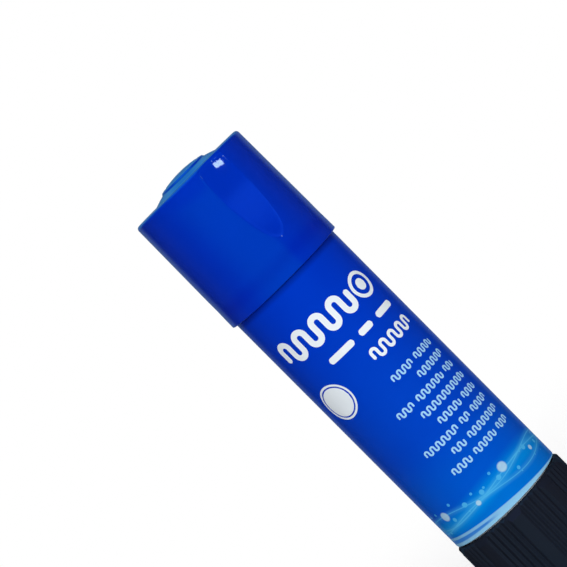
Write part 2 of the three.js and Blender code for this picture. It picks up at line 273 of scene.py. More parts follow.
def ink(red, green, blue):
    # an sRGB colour as the linear one that shaders take
    shares = [value / 255 for value in (red, green, blue)]
    linear = [s / 12.92 if s <= 0.04045 else ((s + 0.055) / 1.055) ** 2.4 for s in shares]
    return (*linear, 1)


def addNode(tree, kind, settings=None, **inputs):
    made = tree.nodes.new("ShaderNode" + kind)
    for key, value in (settings or {}).items():
        setattr(made, key, value)
    for key, value in inputs.items():
        # n0, n1 and so on are sockets by number, and the others go by name
        byNumber = key[0] == "n" and key[1:].isdigit()
        socket = made.inputs[int(key[1:]) if byNumber else key.replace("_", " ")]
        if isinstance(value, bpy.types.NodeSocket):
            tree.links.new(value, socket)
        else:
            socket.default_value = value
    return made


def calc(tree, operation, *values):
    inputs = {f"n{i}": value for i, value in enumerate(values)}
    return addNode(tree, "Math", {"operation": operation}, **inputs).outputs[0]


def fade(tree, value, start, end, low=0, high=1):
    # from low to high, softly, as value goes from start to end
    node = addNode(
        tree, "MapRange", {"interpolation_type": "SMOOTHSTEP"},
        Value=value, From_Min=start, From_Max=end, To_Min=low, To_Max=high,
    )
    return node.outputs["Result"]


def mixColour(tree, share, first, second):
    node = addNode(tree, "Mix", {"data_type": "RGBA"}, n0=share, n6=first, n7=second)
    return node.outputs[2]


def directions(tree, vector):
    # a vector's parts to the east, north and up, and its azimuth from the label's front
    east, north, up = addNode(tree, "SeparateXYZ", Vector=vector).outputs
    return east, north, up, calc(tree, "ARCTAN2", east, calc(tree, "MULTIPLY", north, -1))


def lightPath(tree):
    path = addNode(tree, "LightPath").outputs
    return path, calc(tree, "MAXIMUM", path["Is Camera Ray"], path["Is Transmission Ray"])


def noiseAt(tree, place, scale, detail):
    return addNode(tree, "TexNoise", Vector=place, Scale=scale, Detail=detail).outputs["Fac"]


def addMaterial(name):
    material = bpy.data.materials.new(name)
    material.use_nodes = True
    return material, material.node_tree


def plastic(name, colour, gloss, grain, cloud, **shaderInputs):
    # moulded plastic: cloudy colour, uneven gloss and a fine grain. colour is an sRGB one or a function of
    # the tree, gloss is (roughness, specular level), and grain is (size, height) in mm
    material, tree = addMaterial(name)
    shader = tree.nodes["Principled BSDF"]
    place = addNode(tree, "TexCoord").outputs["Object"]
    base = colour(tree, place) if callable(colour) else ink(*colour)[:3]
    soft = noiseAt(tree, place, clouding["scale"], 3)
    shade = fade(tree, soft, 0.3, 0.7, 1 - cloud, 1 + cloud)
    clouded = addNode(tree, "VectorMath", {"operation": "SCALE"}, n0=base, Scale=shade).outputs[0]
    tree.links.new(clouded, shader.inputs["Base Color"])
    roughness, specular = gloss
    spread = roughness * clouding["glossSpread"]
    rough = fade(tree, soft, 0.25, 0.75, roughness - spread, roughness + spread)
    tree.links.new(rough, shader.inputs["Roughness"])
    size, height = grain
    grains = noiseAt(tree, place, 1 / (size * mm), 2)
    bump = addNode(tree, "Bump", Strength=1, Distance=height * mm, Height=grains)
    tree.links.new(bump.outputs["Normal"], shader.inputs["Normal"])
    shader.inputs["Specular IOR Level"].default_value = specular
    for key, value in shaderInputs.items():
        shader.inputs[key.replace("_", " ")].default_value = value
    return material


# Camera
photoView = {
    # place, aim, lens and sensor in mm, roll in degrees, clipping in metres
    "place": (0, -522.95, 102.71),
    "aim": (-0.8385, 0, 71.44),
    "roll": -44.853,
    "lens": 186.26,
    "sensor": 36,
    "clip": (0.01, 50),
}


def makeCamera():
    place = Vector(photoView["place"]) * mm
    forward = (Vector(photoView["aim"]) * mm - place).normalized()
    level = forward.cross(Vector((0, 0, 1))).normalized()
    rise = level.cross(forward)
    roll = math.radians(photoView["roll"])
    right = level * math.cos(roll) + rise * math.sin(roll)
    up = rise * math.cos(roll) - level * math.sin(roll)
    data = bpy.data.cameras.new("photo_camera")
    data.lens = photoView["lens"]
    data.sensor_width = photoView["sensor"]
    data.clip_start, data.clip_end = photoView["clip"]
    camera = addObject("photo_camera", data)
    camera.matrix_world = Matrix((right, up, -forward)).transposed().to_4x4()
    camera.location = place
    scene.camera = camera


makeCamera()
print("camera set")


# Cap
cap = {
    "colour": (0, 46, 188),
    # painted shade: a deeper blue in a band above the lip, where the waist is shaded
    "waistPaintedShade": (0, 39, 182),
    "waistShadePlace": 3.1,
    "waistShadeHalf": 2.3,
    "draft": 0.25,
    "wall": 1.3,
    "topWall": 1.5,
    "corner": 0.65,
    "cornerBlend": 2,
    "lipChamfer": 0.3,
    "vaultDrop": 0.2,
    "vaultShare": 0.75,
    "domeRadius": 7.6,
    "domeRise": 1.45,
    "domeFillet": 0.4,
    "domeLift": 0.04,
    "domeStep": 0.5,
    "discRadius": 5.2,
    "discRise": 0.3,
    "discSlope": 0.25,
    "discStep": 0.9,
    "ringRadius": 3.9,
    "ringHalf": 0.3,
    "ringDepth": 0.08,
    "scoops": 2,
    "scoopHalfWidth": 3.12,
    "scoopLength": 18.9,
    "scoopMiddle": 3.5,
    "scoopHollow": 0.05,
    "scoopTurn": 23,
    "scoopCorner": 0.16,
    "scoopSoftness": 0.06,
    "scoopSpread": 20,
    "scoopMargin": 1,
    "scoopReachIn": 8,
    "scoopColumn": 0.4,
    "scoopColumns": 45,
    "waistPlace": 4.2,
    "waistHalf": 1.8,
    "waistDepth": 0.035,
    "ribs": 8,
    "ribHalf": 2,
    "ribRadius": 11.2,
    "ribStart": 6,
    "ribStop": 3,
    "bossRadius": 5.1,
    "bossWall": 1,
    "outerRow": 0.4,
    "innerRow": 1.2,
    "columns": 448,
}
crown = capHead - cap["domeRise"] - cap["discRise"]
ceiling = crown - cap["topWall"]
crownRadius = capLipRadius - cap["draft"]
capBore = crownRadius - cap["wall"]
capLipBore = capLipRadius - cap["wall"]


def capWall(height):
    lean = cap["draft"] * (crown - height) / (crown - capFoot)
    waist = math.exp(-((height - capFoot - cap["waistPlace"]) / cap["waistHalf"]) ** 2)
    return crownRadius + lean - cap["waistDepth"] * waist


def scoopFloor(azimuth, height):
    # the ellipsoid that hollows the cap's side, met from the axis
    turn = math.radians(nearest(azimuth, cap["scoops"], cap["scoopTurn"]))
    tooFar = abs(turn) > math.radians(cap["scoopSpread"])
    if tooFar or crown - height > cap["scoopLength"] + cap["scoopMargin"]:
        return math.inf
    reachIn = cap["scoopReachIn"]  # its half thickness; only the curvatures shape the floor
    depth = cap["scoopHalfWidth"] ** 2 / (2 * crownRadius) + cap["scoopHollow"]
    taper = cap["draft"] * cap["scoopLength"] / (crown - capFoot)
    across = 2 * cap["scoopHollow"] / cap["scoopHalfWidth"] ** 2
    along = 2 * (depth + taper) / (cap["scoopLength"] - cap["scoopMiddle"]) ** 2
    radius = crownRadius
    down = crown - height - cap["scoopMiddle"]
    for _ in range(4):
        used = ((radius * math.sin(turn)) ** 2 * across + down ** 2 * along) / reachIn
        radius = (crownRadius - depth + reachIn * (1 - math.sqrt(max(0, 1 - used)))) / math.cos(turn)
    return radius


def scoopBite(azimuth, height):
    # how far the scoop takes the wall in, with a softened edge
    room = scoopFloor(azimuth, height) - capWall(height)
    soft = cap["scoopSoftness"]
    if room > soft:
        return 0
    edge = max(0, soft - abs(room)) / soft
    return max(0, -room) + edge * edge * soft / 4


def capShape(azimuth, radius, height):
    corner = cap["corner"]
    if height < crown - corner and radius < capWall(height) - cap["wall"] / 2:
        ribHere = abs(nearest(azimuth, cap["ribs"])) < cap["ribHalf"]
        inRibs = capFoot + cap["ribStart"] < height < ceiling - cap["ribStop"]
        return (min(radius, cap["ribRadius"]) if ribHere and inRibs else radius), height
    if height < crown - cap["topWall"] / 2 and radius < capBore:
        return radius, height
    topBite = scoopBite(azimuth, crown)
    edge = corner + (cap["scoopCorner"] - corner) * min(1, topBite / corner)
    if radius > crownRadius - corner and height > crown - corner:
        out = (radius - crownRadius + corner) / corner
        up = (height - crown + corner) / corner
        return crownRadius - topBite - edge + out * edge, crown - edge + up * edge
    if height > crown - corner:
        share = max(0, (radius - cap["domeRadius"]) / (crownRadius - corner - cap["domeRadius"]))
        return radius - share * (topBite - corner + edge), height
    height += (corner - edge) * smoothStep(crown - corner - cap["cornerBlend"], crown - corner, height)
    waist = crownRadius + cap["draft"] * (crown - height) / (crown - capFoot) - capWall(height)
    return radius - waist - scoopBite(azimuth, height), height


def domeHeight(radius):
    sphere = (cap["domeRadius"] ** 2 + cap["domeRise"] ** 2) / (2 * cap["domeRise"])
    return crown + cap["domeRise"] - sphere + math.sqrt(sphere ** 2 - radius ** 2)


def discHeight(radius):
    return domeHeight(radius) + cap["discRise"]


def makeCap():
    bossBore = cap["bossRadius"] - cap["bossWall"]
    bossFoot = sealFoot + stick["sealPlug"] + stick["sealPlate"] + seatGap
    vault = ceiling + cap["domeRise"] - cap["vaultDrop"]
    chamfer = cap["lipChamfer"]
    disc = cap["discRadius"]
    discEdge = disc - cap["discSlope"]
    ring = cap["ringRadius"]
    ringOut = ring + cap["ringHalf"]
    ringIn = ring - cap["ringHalf"]
    domeRows = [cap["domeRadius"] - cap["domeFillet"] - cap["domeStep"] * i for i in range(4)]
    discRows = [cap["discStep"] * i for i in (3, 2, 1, 0)]
    corners = [
        (0, vault, 0),
        (bossBore * cap["vaultShare"], vault - cap["vaultDrop"], 0.5),
        (bossBore, ceiling, 0.2),
        (bossBore, bossFoot, 0.2),
        (cap["bossRadius"], bossFoot, 0.2),
        (cap["bossRadius"], ceiling, 0.2),
        (capBore, ceiling, 0.3),
        (capLipBore, capFoot + chamfer, 0.1),
        (capLipBore + chamfer, capFoot, 0.1),
        (capLipRadius, capFoot, 0.14),
        (crownRadius, crown, cap["corner"]),
        (cap["domeRadius"] + cap["domeFillet"], crown, 0),
        (cap["domeRadius"], crown + cap["domeLift"], 0),
        *[(radius, domeHeight(radius), 0) for radius in domeRows],
        (disc, domeHeight(disc), 0.08),
        (discEdge, discHeight(discEdge), 0.14),
        (ringOut, discHeight(ringOut), 0.06),
        (ring, discHeight(ring) - cap["ringDepth"], 0.1),
        (ringIn, discHeight(ringIn), 0.06),
        *[(radius, discHeight(radius), 0) for radius in discRows],
    ]
    scoopMarks = [
        middle + i * cap["scoopColumn"]
        for middle in evenly(cap["scoops"], cap["scoopTurn"])
        for i in range(-cap["scoopColumns"], cap["scoopColumns"] + 1)
    ]
    marks = scoopMarks + besideEdges(evenly(cap["ribs"]), cap["ribHalf"], (-0.1, 0.2))

    def rowStep(radius, height):
        if radius > capBore + cap["wall"] / 2 and height < crown:
            return cap["outerRow"]
        return cap["innerRow"]

    bm = turnedMesh(corners, cap["columns"], rowStep, capShape, marks)
    # the cap's colour carries a band of painted shade at its waist
    material = plastic(
        "cap_blue", capColourWithWaistShade, gloss=(0.36, 0.3), grain=(0.9, 0.001), cloud=0.02,
        Specular_Tint=(0.005, 0.3, 1, 1), Coat_Weight=1, Coat_Roughness=0.02,
    )
    makePiece("cap_body", bm, material, "cap", "cap_shell")


def capColourWithWaistShade(tree, place):
    # painted shade: the wall's colour turns a little deeper in a band where it waists above the lip,
    # standing in for the shade that falls there
    height = addNode(tree, "SeparateXYZ", Vector=place).outputs["Z"]
    middle = (capFoot + cap["waistShadePlace"]) * mm
    away = calc(tree, "ABSOLUTE", calc(tree, "SUBTRACT", height, middle))
    share = fade(tree, away, 0, cap["waistShadeHalf"] * mm, 1, 0)
    return mixColour(tree, share, ink(*cap["colour"]), ink(*cap["waistPaintedShade"]))


makeCap()


# Seal inside the cap
seal = {
    "colour": (243, 245, 244),
    "plugWall": 0.8,
    "webWidth": 1.4,
    "webDrop": 0.25,
    "socketWall": 0.9,
    "row": 3,
    "columns": 160,
}


def makeSeal():
    base = sealFoot + stick["sealPlug"]
    top = base + stick["sealPlate"]
    plugRadius = stick["bore"] - seatGap
    plugBore = plugRadius - seal["plugWall"]
    socketBore = cap["bossRadius"] + slideGap
    socketRadius = socketBore + seal["socketWall"]
    corners = [
        (0, base, 0),
        (plugBore - seal["webWidth"], base, 0.3),
        (plugBore, base - seal["webDrop"], 0.1),
        (plugBore, sealFoot, 0.25),
        (plugRadius, sealFoot, 0.35),
        (plugRadius, base, 0.12),
        (sealRadius, base, 0.2),
        (sealRadius, top, 0.2),
        (socketRadius, top, 0.2),
        (socketRadius, sealHead, 0.2),
        (socketBore, sealHead, 0.2),
        (socketBore, top, 0.2),
        (0, top, 0),
    ]
    bm = turnedMesh(corners, seal["columns"], seal["row"])
    material = plastic("seal_white", seal["colour"], gloss=(0.38, 0.4), grain=(0.6, 0.002), cloud=0.02)
    makePiece("seal_disc", bm, material, "cap", "cap_seal")


makeSeal()


# Barrel
barrel = {
    "colour": (226, 234, 243),
    "boreTaper": 1,
    "ribStart": 0.3,
    "ribSides": (0.3, -0.7),
    "row": 2.4,
    "columns": 192,
}


def makeBarrel():
    bead = shoulder + stick["neckBeadPlace"]
    ribTop = glueHead - seatGap
    boreFoot = barrelEdge + barrel["boreTaper"]
    floorTop = barrelFoot + stick["floor"]
    corners = [
        (stick["floorHole"], barrelFoot, 0.15),
        (stick["spigot"], barrelFoot, 0.3),
        (stick["spigot"], barrelEdge, 0.15),
        (barrelRadius, barrelEdge, 0.18),
        (barrelRadius, shoulder, 0.18),
        (stick["neck"], shoulder, 0.15),
        (stick["neck"], bead - 2 * stick["neckBead"], 0.15),
        (stick["neck"] + stick["neckBead"], bead, 0.2),
        (stick["neck"], bead + 2 * stick["neckBead"], 0.15),
        (stick["neck"], neckTop, 0.35),
        (stick["bore"], neckTop, 0.35),
        (stick["bore"], boreFoot, 0.2),
        (stick["spigotBore"], barrelEdge, 0.2),
        (stick["spigotBore"], floorTop, 0.3),
        (stick["floorHole"], floorTop, 0.15),
    ]
    half = ribHalf(stick["bore"])
    start, end = barrel["ribSides"]

    def shape(azimuth, radius, height):
        # guide ribs down the bore, with rounded backs
        if abs(radius - stick["bore"]) > 0.02 or not boreFoot + barrel["ribStart"] < height < ribTop:
            return radius, height
        lift = stick["ribDepth"] * smoothStep(half + start, half + end, fromRib(azimuth))
        return radius - lift, height

    marks = ribMarks(half, (-1.6, -0.5, 0, 0.5))
    bm = turnedMesh(corners, barrel["columns"], barrel["row"], shape, marks)
    material = plastic("barrel_white", barrel["colour"], gloss=(0.36, 0.35), grain=(0.8, 0.002), cloud=0.02)
    makePiece("barrel_tube", bm, material, "barrel", "barrel")


makeBarrel()


# Label sleeve, its band and its print
label = {
    "thickness": 0.15,
    "hemGap": 0.3,
    "hemLift": 0.1,
    "footDrop": 0.6,
    "overlap": 9,
    "overlapSlope": 3,
    "overlapLift": 0.05,
    "overlapAt": 176,
    "row": 4,
    "columns": 240,
    "deepShare": 0.3,
    "middleShare": 0.36,
    "lowHeight": 8,
    "lipShade": 0.55,
    "swell": 0.7,
    "swellTurns": 2,
    "swellStart": 0.6,
    "deep": (0, 53, 196),
    "middle": (2, 66, 197),
    "low": (0, 84, 205),
    "cyan": (0, 134, 222),
    "edge": (0, 112, 214),
    # colour of the painted shadow under the cap's lip
    "lipShadowColour": (0, 30, 140),
    "pale": (146, 206, 240),
    "glow": (78, 182, 238),
    "bubble": (190, 224, 240),
}
bands = [
    # height above the label's foot where a band's colour starts and where it is full, and its name
    (7.2, 5.2, "edge"),
    (6, 4.4, "cyan"),
    (3.4, 1.8, "edge"),
]
waves = [
    # middle above the label's foot, swing, turns round the label, start in degrees, half thickness
    (4.2, 1.1, 2, 20, 0.07),
    (3.3, 0.8, 3, 150, 0.05),
    (5.0, 0.9, 3, 260, 0.05),
]
waveLight = {"line": 0.75, "lineEdge": 0.1, "glow": 0.28, "glowReach": 0.9, "most": 0.9}
dots = [
    # dots round the label, middle above its foot, scatter, least and largest radius, strength
    (31, 4.6, 5.2, 0.10, 0.34, 0.75),
    (19, 4.0, 3.4, 0.30, 0.55, 0.85),
]
bubbles = (10, 4.9, 2.6, 0.4, 1.15, 0.75)
dotEdge = (0.75, 1.1)
dotSeed = 7
crescent = {
    # a pale sweep at the label's foot: its upper edge swings once round, over a pale hem
    "middle": 0.45,
    "swing": 1,
    "start": 75,
    "softness": (-0.08, 0.14),
    "thickness": 0.45,
    "streakEdge": 0.2,
    "streak": 0.8,
    "inside": 0.15,
    "hem": 0.3,
    "hemEdge": 0.35,
    "hemPale": 0.95,
    "wholeFrom": (-32, -8),
    "whole": 0.9,
}


def labelColour(tree, place):
    _, _, height, azimuth = directions(tree, place)
    height = calc(tree, "SUBTRACT", calc(tree, "DIVIDE", height, mm), labelFoot)
    tall = labelHead - labelFoot
    phase = calc(tree, "MULTIPLY_ADD", azimuth, label["swellTurns"], label["swellStart"])
    swell = calc(tree, "MULTIPLY", calc(tree, "SINE", phase), label["swell"])
    band = calc(tree, "SUBTRACT", height, swell)

    def paint(under, share, name):
        return mixColour(tree, share, under, ink(*label[name]))

    colour = paint(ink(*label["deep"]), fade(tree, height, tall, tall * label["deepShare"]), "middle")
    colour = paint(colour, fade(tree, height, tall * label["middleShare"], label["lowHeight"]), "low")
    for start, full, name in bands:
        colour = paint(colour, fade(tree, band, start, full), name)
    # painted shadow: the label darkens just under the cap's lip, where the lip shades it
    colour = paint(colour, fade(tree, height, tall - 1, tall - 0.1, 0, label["lipShade"]), "lipShadowColour")
    light = 0
    for middle, swing, turns, start, half in waves:
        phase = calc(tree, "MULTIPLY_ADD", azimuth, turns, math.radians(start))
        line = calc(tree, "MULTIPLY_ADD", calc(tree, "SINE", phase), swing, middle)
        away = calc(tree, "ABSOLUTE", calc(tree, "SUBTRACT", height, line))
        sharp = fade(tree, away, half, half + waveLight["lineEdge"], waveLight["line"], 0)
        glow = fade(tree, away, 0, waveLight["glowReach"], waveLight["glow"], 0)
        light = calc(tree, "ADD", light, calc(tree, "MAXIMUM", sharp, glow))
    for row in dots:
        light = calc(tree, "ADD", light, dotRow(tree, azimuth, height, *row))
    colour = paint(colour, calc(tree, "MINIMUM", light, waveLight["most"]), "glow")
    colour = paint(colour, dotRow(tree, azimuth, height, *bubbles), "bubble")
    return paint(colour, paleFoot(tree, azimuth, height), "pale")


def paleFoot(tree, azimuth, height):
    # how pale the sweep at the foot makes the label there
    swing = calc(tree, "COSINE", calc(tree, "ADD", azimuth, math.radians(crescent["start"])))
    edge = calc(tree, "MULTIPLY_ADD", swing, crescent["swing"], crescent["middle"])
    under = calc(tree, "SUBTRACT", edge, height)
    inside = fade(tree, under, *crescent["softness"])
    streakFoot = crescent["thickness"] + crescent["streakEdge"]
    streak = fade(tree, under, crescent["thickness"], streakFoot, crescent["streak"], crescent["inside"])
    hem = fade(tree, height, crescent["hem"], crescent["hem"] - crescent["hemEdge"], 0, crescent["hemPale"])
    start, full = map(math.radians, crescent["wholeFrom"])
    whole = fade(tree, azimuth, start, full, 0, crescent["whole"])
    return calc(tree, "MULTIPLY", inside, calc(tree, "MAXIMUM", calc(tree, "MAXIMUM", streak, hem), whole))


def dotRow(tree, azimuth, height, count, middle, scatter, smallest, largest, strength):
    # one plain dot in each cell round the label, its height and size left to chance
    cell = calc(tree, "MULTIPLY", azimuth, count / math.tau)
    number = calc(tree, "FLOOR", cell)
    across = calc(tree, "SUBTRACT", calc(tree, "FRACT", cell), 0.5)
    across = calc(tree, "MULTIPLY", across, math.tau * labelRadius / count)
    # the cells are numbered from the same side all round, and each row has numbers of its own
    number = calc(tree, "MODULO", calc(tree, "ADD", number, count), count)
    number = calc(tree, "ADD", number, count * dotSeed)
    chance = addNode(tree, "TexWhiteNoise", {"noise_dimensions": "1D"}, W=number)
    lift = calc(tree, "MULTIPLY_ADD", chance.outputs["Value"], scatter, middle - scatter / 2)
    size = addNode(tree, "SeparateColor", Color=chance.outputs["Color"]).outputs[0]
    size = calc(tree, "MULTIPLY_ADD", size, largest - smallest, smallest)
    up = calc(tree, "SUBTRACT", height, lift)
    away = calc(tree, "SQRT", calc(tree, "ADD", calc(tree, "POWER", across, 2), calc(tree, "POWER", up, 2)))
    return fade(tree, calc(tree, "DIVIDE", away, size), *dotEdge, strength, 0)


def makeLabel():
    # the shrunk film turns in over the barrel's shoulder, under the cap's lip
    inner = labelRadius - label["thickness"]
    foot = labelFoot - label["footDrop"]
    hem = stick["neck"] + label["hemGap"]
    hemFoot = shoulder + label["hemLift"]
    hemTop = hemFoot + label["thickness"]
    corners = [
        (inner, foot, 0.02),
        (labelRadius, foot, 0.06),
        (labelRadius, hemTop, 0.1),
        (hem, hemTop, 0.04),
        (hem, hemFoot, 0.04),
        (inner, hemFoot, 0.02),
    ]
    seam = label["overlapAt"]
    lapStart = seam - label["overlap"]
    slopeStart = lapStart - label["overlapSlope"]

    def shape(azimuth, radius, height):
        # the film's end laps over its start at the back
        lifted = azimuth <= seam + 0.01 and radius > labelRadius - label["thickness"] / 2
        rise = smoothStep(slopeStart, lapStart, azimuth) if lifted else 0
        return radius + label["overlapLift"] * rise, height

    marks = [seam, seam + 0.3, lapStart, slopeStart]
    bm = turnedMesh(corners, label["columns"], label["row"], shape, marks)
    material = plastic(
        "label_film", labelColour, gloss=(0.2, 0.3), grain=(2.5, 0.001), cloud=0.015,
        Specular_Tint=(0.01, 0.3, 1, 1), Coat_Weight=0.1, Coat_Roughness=0.08,
    )
    makePiece("label_sleeve", bm, material, "barrel", "label")


makeLabel()


# Plain strokes in the place of the print: winding lines, bars, a ring and a disc, with no lettering
printLook = {"colour": (238, 246, 252), "proud": 0.02, "sunk": 0.03, "step": 0.2}
bars = [
    # azimuths of the two ends, height, thickness
    (-24, 4, 56.4, 1.3),
    (11, 27, 56.4, 1.3),
    (34, 58, 56.4, 1.3),
]
rounds = [
    # azimuth and height of the middle, radius of the ring's line, its thickness, radius of the disc inside
    (47, 62.3, 2.35, 0.7, 1.15),
    (-47, 50.2, 3.55, 0.4, 3.05),
]
windings = [
    # azimuth of the right end, height of the middle, legs in each run, half the leg pitch, straight,
    # thickness
    (29, 62.3, (9,), 1.08, 1.9, 1.15),
    (58, 52.0, (10,), 0.6, 0.9, 0.6),
]
lines = {
    "top": 46.6,
    "pitch": 2.75,
    "right": 59,
    "half": 0.34,
    "straight": 0.5,
    "thickness": 0.34,
    "gap": 1.3,
    "runs": [(8, 9), (12,), (6, 11, 5), (19,), (9, 7), (12, 4, 8), (5, 14), (7, 9, 6)],
    "colour": (160, 212, 248),
}


def addStroke(bm, route, long, thickness, closed=False):
    # a flat stroke along a route on the label, which gives (arc, height) in mm, with round ends
    half = thickness / 2
    past = 0 if closed else half
    columns = math.ceil((long + 2 * past) / min(printLook["step"], thickness / 4))
    points = bmesh.ops.create_grid(bm, x_segments=columns, y_segments=1, size=1)["verts"]
    deep = labelRadius - printLook["sunk"]
    for point in points:
        along = (point.co.x + 1) / 2 * (long + 2 * past) - past
        on = min(long, max(0, along))
        tangent = (Vector(route(on + 0.005)) - Vector(route(on - 0.005))).normalized()
        wide = math.sqrt(max(0, half ** 2 - (along - on) ** 2))
        side = Vector((-tangent.y, tangent.x)) * wide * (1 if point.co.y > 0 else -1)
        arc, height = Vector(route(on)) + tangent * (along - on) + side
        point.co = around(math.degrees(arc / labelRadius), deep, height)
    faces = list({face for point in points for face in point.link_faces})
    if closed:
        bmesh.ops.remove_doubles(bm, verts=points, dist=1e-6)
    for point in pointsOf(bmesh.ops.extrude_face_region(bm, geom=faces)["geom"]):
        point.co.xy *= (labelRadius + printLook["proud"]) / deep


def winding(start, middle, half, straight, along):
    # a line that winds up and down in legs joined by half circles
    leg = straight + math.pi * half
    number = max(0, math.floor(along / leg))
    rest = along - number * leg
    way = 1 if number % 2 == 0 else -1
    if rest < straight:
        return start + number * 2 * half, middle + way * (rest - straight / 2)
    turn = (rest - straight) / half
    rise = way * (straight / 2 + half * math.sin(turn))
    return start + (number * 2 + 1 - math.cos(turn)) * half, middle + rise


def addWindings(bm, right, middle, runs, half, straight, thickness, gap=0):
    # runs of winding line, set from the right
    place = math.radians(right) * labelRadius
    for legs in reversed(runs):
        start = place - 2 * half * (legs - 1)
        long = legs * (straight + math.pi * half) - math.pi * half
        addStroke(bm, lambda along: winding(start, middle, half, straight, along), long, thickness)
        place = start - gap


def printInk(name, colour):
    return plastic(name, colour, gloss=(0.32, 0.3), grain=(0.5, 0.001), cloud=0.01)


def makePrint():
    bm = bmesh.new()
    for left, right, height, thickness in bars:
        start, end = (math.radians(azimuth) * labelRadius for azimuth in (left, right))
        long = end - start - thickness
        addStroke(bm, lambda along: (start + thickness / 2 + along, height), long, thickness)
    for azimuth, height, radius, thickness, discRadius in rounds:
        middle = math.radians(azimuth) * labelRadius

        def ringLine(along):
            turn = along / radius
            return middle + radius * math.sin(turn), height + radius * math.cos(turn)

        addStroke(bm, ringLine, math.tau * radius, thickness, closed=True)
        addStroke(bm, lambda along: (middle + along, height), 0, 2 * discRadius)
    for row in windings:
        addWindings(bm, *row)
    makePiece("print_marks", bm, printInk("print_white", printLook["colour"]), "barrel", sharpAngle=60)


def makeLines():
    bm = bmesh.new()
    form = [lines[key] for key in ("half", "straight", "thickness", "gap")]
    for row, runs in enumerate(lines["runs"]):
        addWindings(bm, lines["right"], lines["top"] - row * lines["pitch"], runs, *form)
    makePiece("print_lines", bm, printInk("print_pale_blue", lines["colour"]), "barrel", sharpAngle=60)


makePrint()
makeLines()


# Knob
knob = {
    "colour": (27, 30, 41),
    "overhang": 0.375,
    "groups": 9,
    "grooves": 5,
    "groovePitch": 6,
    "grooveDepth": 0.375,
    "grooveRoot": 1,
    "ridgeCrest": 1.2,
    "turn": -3.5,
    "slope": 1.15,
    "band": 0.3,
    "bandInset": 0.1,
    "headRounding": 0.1,
    "ridgeTip": 0.45,
    "baseRounding": 0.45,
    "edgeSoftness": 0.22,
    "skirtWall": 1.2,
    "deck": 1.5,
    "hubRadius": 5,
    "hubFoot": 4.3,
    "hubBore": 3.2,
    "webs": 6,
    "webThickness": 1.1,
    "webInset": 1,
    "webRoot": 0.1,
    "webRounding": 0.15,
    "slopeRow": 0.09,
    "wallRow": 2.2,
    "columns": 792,
}
knobRadius = labelRadius + knob["overhang"]
grooveFoot = knobRadius - knob["grooveDepth"]
bandRadius = grooveFoot - knob["bandInset"]
knobBore = grooveFoot - knob["skirtWall"]
deckTop = barrelFoot - seatGap
deckFoot = deckTop - knob["deck"]
groupPitch = 360 / knob["groups"]
halfGroup = (knob["grooves"] - 1) * knob["groovePitch"] / 2
firstGroove = groupPitch / 2 - halfGroup
mouthHalf = (knob["groovePitch"] - knob["ridgeCrest"]) / 2
rootHalf = knob["grooveRoot"] / 2


def grooveMiddles():
    return [
        group + firstGroove + groove * knob["groovePitch"]
        for group in evenly(knob["groups"], knob["turn"])
        for groove in range(knob["grooves"])
    ]


def grooveRadius(azimuth):
    place = (azimuth - knob["turn"]) % groupPitch - firstGroove
    number = min(knob["grooves"] - 1, max(0, round(place / knob["groovePitch"])))
    away = abs(place - number * knob["groovePitch"])
    return knobRadius - knob["grooveDepth"] * clamped((mouthHalf - away) / (mouthHalf - rootHalf))


def betweenGrooves(azimuth):
    # whether it lies between the outer grooves of a group
    return abs((azimuth - knob["turn"]) % groupPitch - groupPitch / 2) < halfGroup


def makeKnob(material):
    bandFoot = knobHead - knob["band"]
    slopeFoot = bandFoot - knob["slope"]
    tipFoot = knobHead - knob["headRounding"] - knob["ridgeTip"]
    collar = stick["spigot"] + slideGap
    corners = [
        (knob["hubBore"], knob["hubFoot"], 0.15),
        (knob["hubRadius"], knob["hubFoot"], 0.3),
        (knob["hubRadius"], deckFoot, 0.4),
        (knobBore, deckFoot, 0.5),
        (knobBore, knobFoot, 0.25),
        (knobRadius, knobFoot, knob["baseRounding"]),
        (knobRadius, slopeFoot, 0.06),
        (bandRadius, bandFoot, 0.05),
        (bandRadius, knobHead, knob["headRounding"]),
        (collar, knobHead, knob["headRounding"]),
        (collar, deckTop, 0.2),
        (knob["hubBore"], deckTop, 0.15),
    ]
    middles = grooveMiddles()
    soft = (-knob["edgeSoftness"], knob["edgeSoftness"])
    marks = besideEdges(middles, mouthHalf, soft) + besideEdges(middles, rootHalf, soft)

    def rowStep(radius, height):
        onSlope = radius > bandRadius + 0.01 and slopeFoot < height < bandFoot
        return knob["slopeRow"] if onSlope else knob["wallRow"]

    def shape(azimuth, radius, height):
        # the lands end in the slope, and the ridges between grooves run on to the knob's head
        if radius > bandRadius - 0.01:
            if height > slopeFoot and betweenGrooves(azimuth):
                fall = clamped((height - tipFoot) / knob["ridgeTip"])
                radius = knobRadius - (knobRadius - bandRadius) * fall
            return min(radius, grooveRadius(azimuth)), height
        if radius < knob["hubBore"] + 0.16:
            return hexRadius(azimuth, radius), height
        return radius, height

    bm = turnedMesh(corners, knob["columns"], rowStep, shape, marks)
    makePiece("grip_knob", bm, material, "knob", "twist_knob", 30)


def makeWebs(material):
    # stiffening webs between the hub and the skirt
    bm = bmesh.new()
    inner = knob["hubRadius"] - knob["webRoot"]
    outer = knobBore + knob["webRoot"]
    tall = deckFoot + knob["webRoot"] - knob["webInset"]
    for web in range(knob["webs"]):
        points = bmesh.ops.create_cube(bm, size=1)["verts"]
        bmesh.ops.scale(bm, vec=Vector((outer - inner, knob["webThickness"], tall)) * mm, verts=points)
        middle = Vector(((inner + outer) / 2, 0, knob["webInset"] + tall / 2)) * mm
        bmesh.ops.translate(bm, vec=middle, verts=points)
        turnPoints(bm, points, math.tau * web / knob["webs"])
    bmesh.ops.bevel(
        bm, geom=bm.edges[:], offset=knob["webRounding"] * mm, offset_type="OFFSET",
        segments=2, profile=0.5, affect="EDGES", material=-1,
    )
    makePiece("knob_webs", bm, material, "knob")


knobBlack = plastic("knob_black", knob["colour"], gloss=(0.58, 0.27), grain=(0.25, 0.004), cloud=0.06)
makeKnob(knobBlack)
makeWebs(knobBlack)


